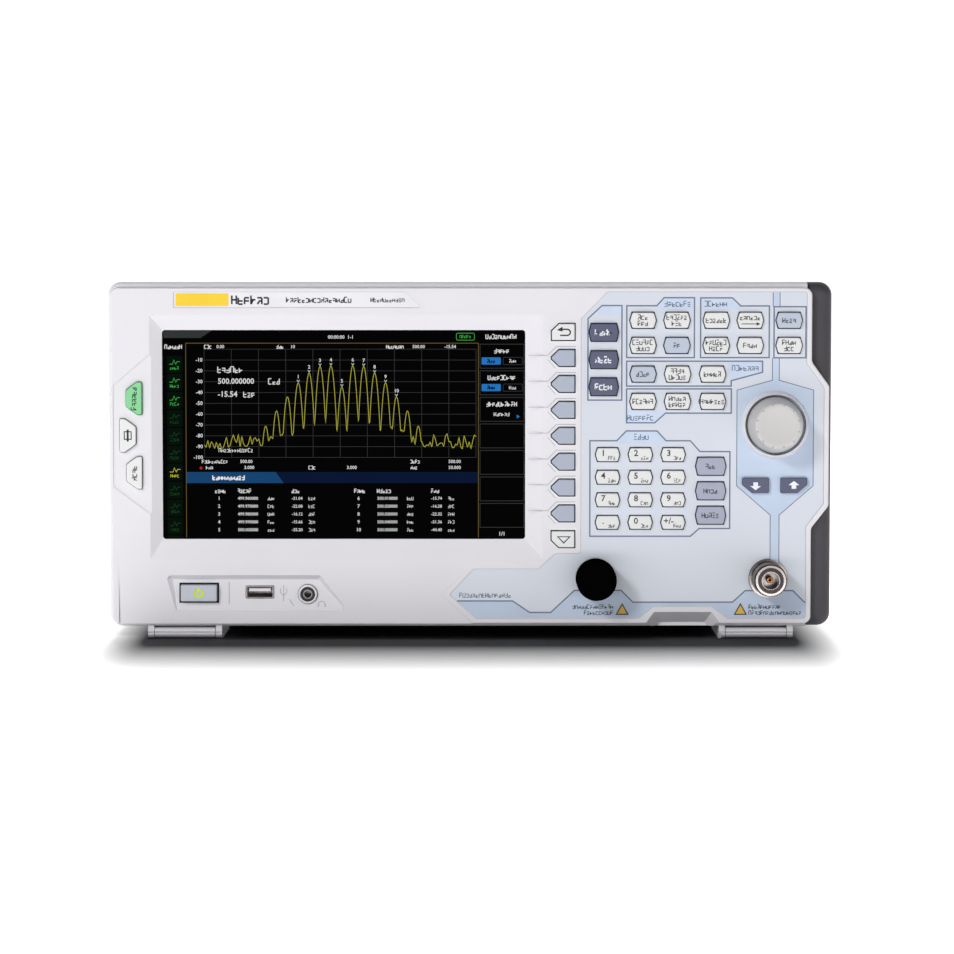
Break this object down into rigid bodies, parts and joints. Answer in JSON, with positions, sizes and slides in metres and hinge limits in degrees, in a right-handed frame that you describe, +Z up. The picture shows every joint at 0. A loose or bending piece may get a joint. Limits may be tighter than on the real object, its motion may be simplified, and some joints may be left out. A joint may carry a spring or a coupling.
{
  "type": "spectrum analyzer",
  "caption": "Bench spectrum analyzer with a wide colour display, menu keys, function and number keys, a tuning knob, coaxial input, pull-up handle and flip-out legs.",
  "frame": {"origin": "under the middle of the object's bounding box, on the surface it stands on", "axes": "+Z up, front towards -Y, +X to the right as seen from the front"},
  "size_m": [0.3616, 0.145, 0.1788],
  "materials": {
    "light_plastic": "fine moulded texture",
    "dark_plastic": "fine moulded texture",
    "panel_paint": "fine powder coat",
    "printed_film": "satin printed film",
    "display_glass": "clear",
    "steel_tray": "plain",
    "circuit_board": "solder mask",
    "machined_aluminium": "milled",
    "black_plastic": "moulded",
    "nickel_plate": "bright plate",
    "black_rubber": "smooth",
    "port_steel": "stamped",
    "handle_plastic": "moulded grip",
    "screw_steel": "plated",
    "knob_plastic": "satin",
    "white_key": "satin",
    "tinted_key": "satin",
    "slate_key": "satin",
    "lilac_key": "satin",
    "blue_grey_key": "satin",
    "green_key": "satin",
    "power_face": "satin"
  },
  "bodies": {
    "instrument_body": {"case_screws": "screw_steel", "control_overlay": "printed_film", "display_window": "display_glass", "fan_frame": "black_plastic", "front_bezel": "light_plastic", "front_boards": "circuit_board", "front_sockets": "port_steel", "lcd_module": "steel_tray", "main_board": "circuit_board", "n_connectors": "nickel_plate", "power_inlet": "black_plastic", "power_supply": "circuit_board", "rear_case": "dark_plastic", "rear_connectors": "nickel_plate", "rear_panel": "panel_paint", "rf_module": "machined_aluminium"},
    "amplitude_key": {"amplitude_key": "slate_key"},
    "auto_key": {"auto_key": "tinted_key"},
    "back_key": {"back_key": "lilac_key"},
    "bandwidth_key": {"bandwidth_key": "white_key"},
    "demodulation_key": {"demodulation_key": "white_key"},
    "down_key": {"down_key": "slate_key"},
    "enter_key": {"enter_key": "lilac_key"},
    "escape_key": {"escape_key": "lilac_key"},
    "frequency_key": {"frequency_key": "slate_key"},
    "generator_key": {"generator_key": "tinted_key"},
    "help_key": {"help_key": "white_key"},
    "marker_function_key": {"marker_function_key": "white_key"},
    "marker_key": {"marker_key": "white_key"},
    "marker_to_key": {"marker_to_key": "white_key"},
    "measure_key": {"measure_key": "tinted_key"},
    "measure_setup_key": {"measure_setup_key": "white_key"},
    "menu_down_key": {"menu_down_key": "white_key"},
    "menu_up_key": {"menu_up_key": "white_key"},
    "number_keys": {"number_keys": "white_key"},
    "peak_key": {"peak_key": "white_key"},
    "power_key": {"power_key": "power_face"},
    "preset_key": {"preset_key": "green_key"},
    "print_key": {"print_key": "white_key"},
    "print_setup_key": {"print_setup_key": "white_key"},
    "soft_key_1": {"soft_key_1": "blue_grey_key"},
    "soft_key_2": {"soft_key_2": "blue_grey_key"},
    "soft_key_3": {"soft_key_3": "blue_grey_key"},
    "soft_key_4": {"soft_key_4": "blue_grey_key"},
    "soft_key_5": {"soft_key_5": "blue_grey_key"},
    "soft_key_6": {"soft_key_6": "blue_grey_key"},
    "soft_key_7": {"soft_key_7": "blue_grey_key"},
    "span_key": {"span_key": "slate_key"},
    "storage_key": {"storage_key": "white_key"},
    "sweep_key": {"sweep_key": "white_key"},
    "system_key": {"system_key": "white_key"},
    "trace_key": {"trace_key": "white_key"},
    "up_key": {"up_key": "slate_key"},
    "user_key": {"user_key": "white_key"},
    "fan_rotor": {"fan_rotor": "black_plastic"},
    "tuning_knob": {"tuning_knob": "knob_plastic"},
    "gen_output_cap": {"gen_output_cap": "black_rubber"},
    "carry_handle": {"carry_handle": "handle_plastic"},
    "left_leg": {"left_leg": "light_plastic"},
    "right_leg": {"right_leg": "light_plastic"}
  },
  "joints": [
    {"name": "amplitude_key_press", "type": "slide", "parent": "instrument_body", "child": "amplitude_key", "axis": [0, 1, 0], "range_m": [0, 0.001], "stiffness_N_per_m": 300},
    {"name": "auto_key_press", "type": "slide", "parent": "instrument_body", "child": "auto_key", "axis": [0, 1, 0], "range_m": [0, 0.001], "stiffness_N_per_m": 300},
    {"name": "back_key_press", "type": "slide", "parent": "instrument_body", "child": "back_key", "axis": [0, 1, 0], "range_m": [0, 0.001], "stiffness_N_per_m": 300},
    {"name": "bandwidth_key_press", "type": "slide", "parent": "instrument_body", "child": "bandwidth_key", "axis": [0, 1, 0], "range_m": [0, 0.001], "stiffness_N_per_m": 300},
    {"name": "demodulation_key_press", "type": "slide", "parent": "instrument_body", "child": "demodulation_key", "axis": [0, 1, 0], "range_m": [0, 0.001], "stiffness_N_per_m": 300},
    {"name": "down_key_press", "type": "slide", "parent": "instrument_body", "child": "down_key", "axis": [0, 1, 0], "range_m": [0, 0.001], "stiffness_N_per_m": 300},
    {"name": "enter_key_press", "type": "slide", "parent": "instrument_body", "child": "enter_key", "axis": [0, 1, 0], "range_m": [0, 0.001], "stiffness_N_per_m": 300},
    {"name": "escape_key_press", "type": "slide", "parent": "instrument_body", "child": "escape_key", "axis": [0, 1, 0], "range_m": [0, 0.001], "stiffness_N_per_m": 300},
    {"name": "frequency_key_press", "type": "slide", "parent": "instrument_body", "child": "frequency_key", "axis": [0, 1, 0], "range_m": [0, 0.001], "stiffness_N_per_m": 300},
    {"name": "generator_key_press", "type": "slide", "parent": "instrument_body", "child": "generator_key", "axis": [0, 1, 0], "range_m": [0, 0.001], "stiffness_N_per_m": 300},
    {"name": "help_key_press", "type": "slide", "parent": "instrument_body", "child": "help_key", "axis": [0, 1, 0], "range_m": [0, 0.001], "stiffness_N_per_m": 300},
    {"name": "marker_function_key_press", "type": "slide", "parent": "instrument_body", "child": "marker_function_key", "axis": [0, 1, 0], "range_m": [0, 0.001], "stiffness_N_per_m": 300},
    {"name": "marker_key_press", "type": "slide", "parent": "instrument_body", "child": "marker_key", "axis": [0, 1, 0], "range_m": [0, 0.001], "stiffness_N_per_m": 300},
    {"name": "marker_to_key_press", "type": "slide", "parent": "instrument_body", "child": "marker_to_key", "axis": [0, 1, 0], "range_m": [0, 0.001], "stiffness_N_per_m": 300},
    {"name": "measure_key_press", "type": "slide", "parent": "instrument_body", "child": "measure_key", "axis": [0, 1, 0], "range_m": [0, 0.001], "stiffness_N_per_m": 300},
    {"name": "measure_setup_key_press", "type": "slide", "parent": "instrument_body", "child": "measure_setup_key", "axis": [0, 1, 0], "range_m": [0, 0.001], "stiffness_N_per_m": 300},
    {"name": "menu_down_key_press", "type": "slide", "parent": "instrument_body", "child": "menu_down_key", "axis": [0, 1, 0], "range_m": [0, 0.001], "stiffness_N_per_m": 300},
    {"name": "menu_up_key_press", "type": "slide", "parent": "instrument_body", "child": "menu_up_key", "axis": [0, 1, 0], "range_m": [0, 0.001], "stiffness_N_per_m": 300},
    {"name": "number_keys_press", "type": "slide", "parent": "instrument_body", "child": "number_keys", "axis": [0, 1, 0], "range_m": [0, 0.001], "stiffness_N_per_m": 600},
    {"name": "peak_key_press", "type": "slide", "parent": "instrument_body", "child": "peak_key", "axis": [0, 1, 0], "range_m": [0, 0.001], "stiffness_N_per_m": 300},
    {"name": "power_key_press", "type": "slide", "parent": "instrument_body", "child": "power_key", "axis": [0, 1, 0], "range_m": [0, 0.001], "stiffness_N_per_m": 300},
    {"name": "preset_key_press", "type": "slide", "parent": "instrument_body", "child": "preset_key", "axis": [0, 1, 0], "range_m": [0, 0.001], "stiffness_N_per_m": 300},
    {"name": "print_key_press", "type": "slide", "parent": "instrument_body", "child": "print_key", "axis": [0, 1, 0], "range_m": [0, 0.001], "stiffness_N_per_m": 300},
    {"name": "print_setup_key_press", "type": "slide", "parent": "instrument_body", "child": "print_setup_key", "axis": [0, 1, 0], "range_m": [0, 0.001], "stiffness_N_per_m": 300},
    {"name": "soft_key_1_press", "type": "slide", "parent": "instrument_body", "child": "soft_key_1", "axis": [0, 1, 0], "range_m": [0, 0.001], "stiffness_N_per_m": 300},
    {"name": "soft_key_2_press", "type": "slide", "parent": "instrument_body", "child": "soft_key_2", "axis": [0, 1, 0], "range_m": [0, 0.001], "stiffness_N_per_m": 300},
    {"name": "soft_key_3_press", "type": "slide", "parent": "instrument_body", "child": "soft_key_3", "axis": [0, 1, 0], "range_m": [0, 0.001], "stiffness_N_per_m": 300},
    {"name": "soft_key_4_press", "type": "slide", "parent": "instrument_body", "child": "soft_key_4", "axis": [0, 1, 0], "range_m": [0, 0.001], "stiffness_N_per_m": 300},
    {"name": "soft_key_5_press", "type": "slide", "parent": "instrument_body", "child": "soft_key_5", "axis": [0, 1, 0], "range_m": [0, 0.001], "stiffness_N_per_m": 300},
    {"name": "soft_key_6_press", "type": "slide", "parent": "instrument_body", "child": "soft_key_6", "axis": [0, 1, 0], "range_m": [0, 0.001], "stiffness_N_per_m": 300},
    {"name": "soft_key_7_press", "type": "slide", "parent": "instrument_body", "child": "soft_key_7", "axis": [0, 1, 0], "range_m": [0, 0.001], "stiffness_N_per_m": 300},
    {"name": "span_key_press", "type": "slide", "parent": "instrument_body", "child": "span_key", "axis": [0, 1, 0], "range_m": [0, 0.001], "stiffness_N_per_m": 300},
    {"name": "storage_key_press", "type": "slide", "parent": "instrument_body", "child": "storage_key", "axis": [0, 1, 0], "range_m": [0, 0.001], "stiffness_N_per_m": 300},
    {"name": "sweep_key_press", "type": "slide", "parent": "instrument_body", "child": "sweep_key", "axis": [0, 1, 0], "range_m": [0, 0.001], "stiffness_N_per_m": 300},
    {"name": "system_key_press", "type": "slide", "parent": "instrument_body", "child": "system_key", "axis": [0, 1, 0], "range_m": [0, 0.001], "stiffness_N_per_m": 300},
    {"name": "trace_key_press", "type": "slide", "parent": "instrument_body", "child": "trace_key", "axis": [0, 1, 0], "range_m": [0, 0.001], "stiffness_N_per_m": 300},
    {"name": "up_key_press", "type": "slide", "parent": "instrument_body", "child": "up_key", "axis": [0, 1, 0], "range_m": [0, 0.001], "stiffness_N_per_m": 300},
    {"name": "user_key_press", "type": "slide", "parent": "instrument_body", "child": "user_key", "axis": [0, 1, 0], "range_m": [0, 0.001], "stiffness_N_per_m": 300},
    {"name": "knob_turn", "type": "hinge", "parent": "instrument_body", "child": "tuning_knob", "pos_m": [0.1521, -0.06, 0.1076], "axis": [0, -1, 0], "continuous": true},
    {"name": "fan_spin", "type": "hinge", "parent": "instrument_body", "child": "fan_rotor", "pos_m": [-0.1, 0.0505, 0.112], "axis": [0, 1, 0], "continuous": true},
    {"name": "cap_pull", "type": "slide", "parent": "instrument_body", "child": "gen_output_cap", "axis": [0, -1, 0], "range_m": [0, 0.02]},
    {"name": "handle_lift", "type": "slide", "parent": "instrument_body", "child": "carry_handle", "axis": [0, 0, 1], "range_m": [0, 0.035]},
    {"name": "left_leg_flip", "type": "hinge", "parent": "instrument_body", "child": "left_leg", "pos_m": [-0.14325, -0.0499, 0.0031], "axis": [-1, 0, 0], "range_deg": [0, 80]},
    {"name": "right_leg_flip", "type": "hinge", "parent": "instrument_body", "child": "right_leg", "pos_m": [0.14325, -0.0499, 0.0031], "axis": [-1, 0, 0], "range_deg": [0, 80]}
  ]
}
